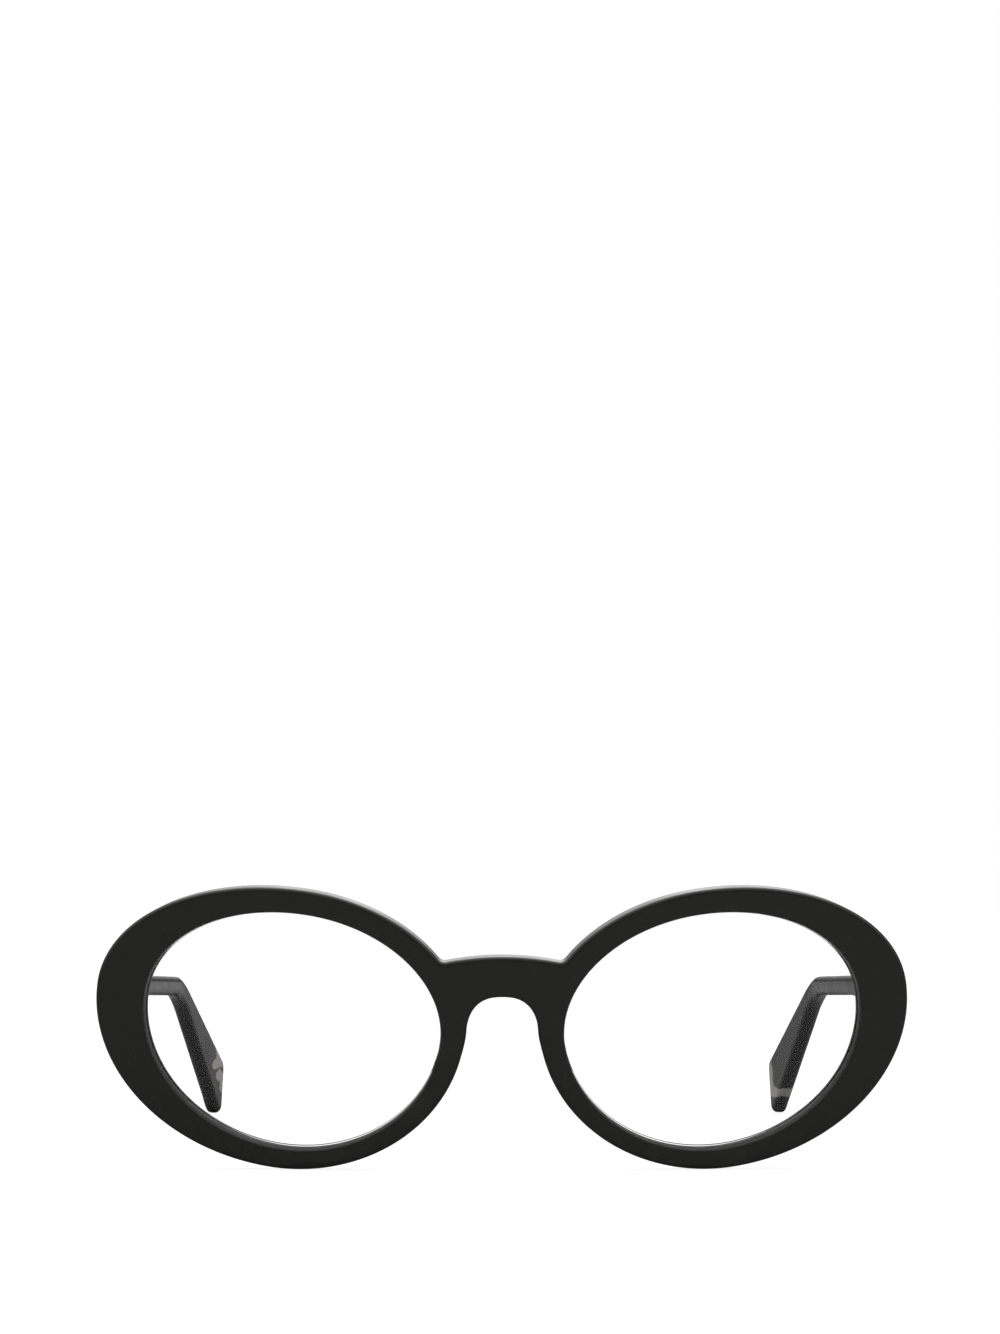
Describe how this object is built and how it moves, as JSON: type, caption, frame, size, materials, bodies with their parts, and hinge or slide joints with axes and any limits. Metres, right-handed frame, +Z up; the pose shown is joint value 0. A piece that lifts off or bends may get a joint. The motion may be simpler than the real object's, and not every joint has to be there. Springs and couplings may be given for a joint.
{
  "type": "eyeglasses",
  "caption": "Oval acetate eyeglasses with clear lenses: a bent black front with a narrow nose arch and two folding arms with bent ear tips.",
  "frame": {"origin": "bottom centre of the box round the open eyeglasses, on the table that they stand on", "axes": "+X to the wearer's left, +Y back along the arms, +Z up; the rims' lower edges and the ear tips touch z = 0"},
  "size_m": [0.1398, 0.149, 0.0489],
  "materials": {
    "black_acetate": "satin",
    "havana_acetate": "polished",
    "clear_lens": "polished",
    "hinge_metal": "satin",
    "screw_steel": "satin",
    "core_metal": "satin",
    "lock_nylon": "matte"
  },
  "bodies": {
    "front": {"front_frame": "black_acetate", "lens_right": "clear_lens", "lens_left": "clear_lens", "nose_pad_right": "black_acetate", "nose_pad_left": "black_acetate", "end_block_right": "black_acetate", "end_block_left": "black_acetate", "front_hinge_right": "hinge_metal", "front_hinge_left": "hinge_metal", "hinge_screw_right": "screw_steel", "hinge_screw_left": "screw_steel", "screw_lock_right": "lock_nylon", "screw_lock_left": "lock_nylon"},
    "arm_right": {"temple_right": "havana_acetate", "temple_hinge_right": "hinge_metal", "temple_rivets_right": "screw_steel", "core_wire_right": "core_metal"},
    "arm_left": {"temple_left": "havana_acetate", "temple_hinge_left": "hinge_metal", "temple_rivets_left": "screw_steel", "core_wire_left": "core_metal"}
  },
  "joints": [
    {"name": "fold_right", "type": "hinge", "parent": "front", "child": "arm_right", "pos_m": [-0.06335, -0.0593, 0.02965], "axis": [0, 0, -1], "range_deg": [0, 78.5]},
    {"name": "fold_left", "type": "hinge", "parent": "front", "child": "arm_left", "pos_m": [0.06335, -0.0593, 0.02965], "axis": [0, 0, 1], "range_deg": [0, 87]}
  ]
}
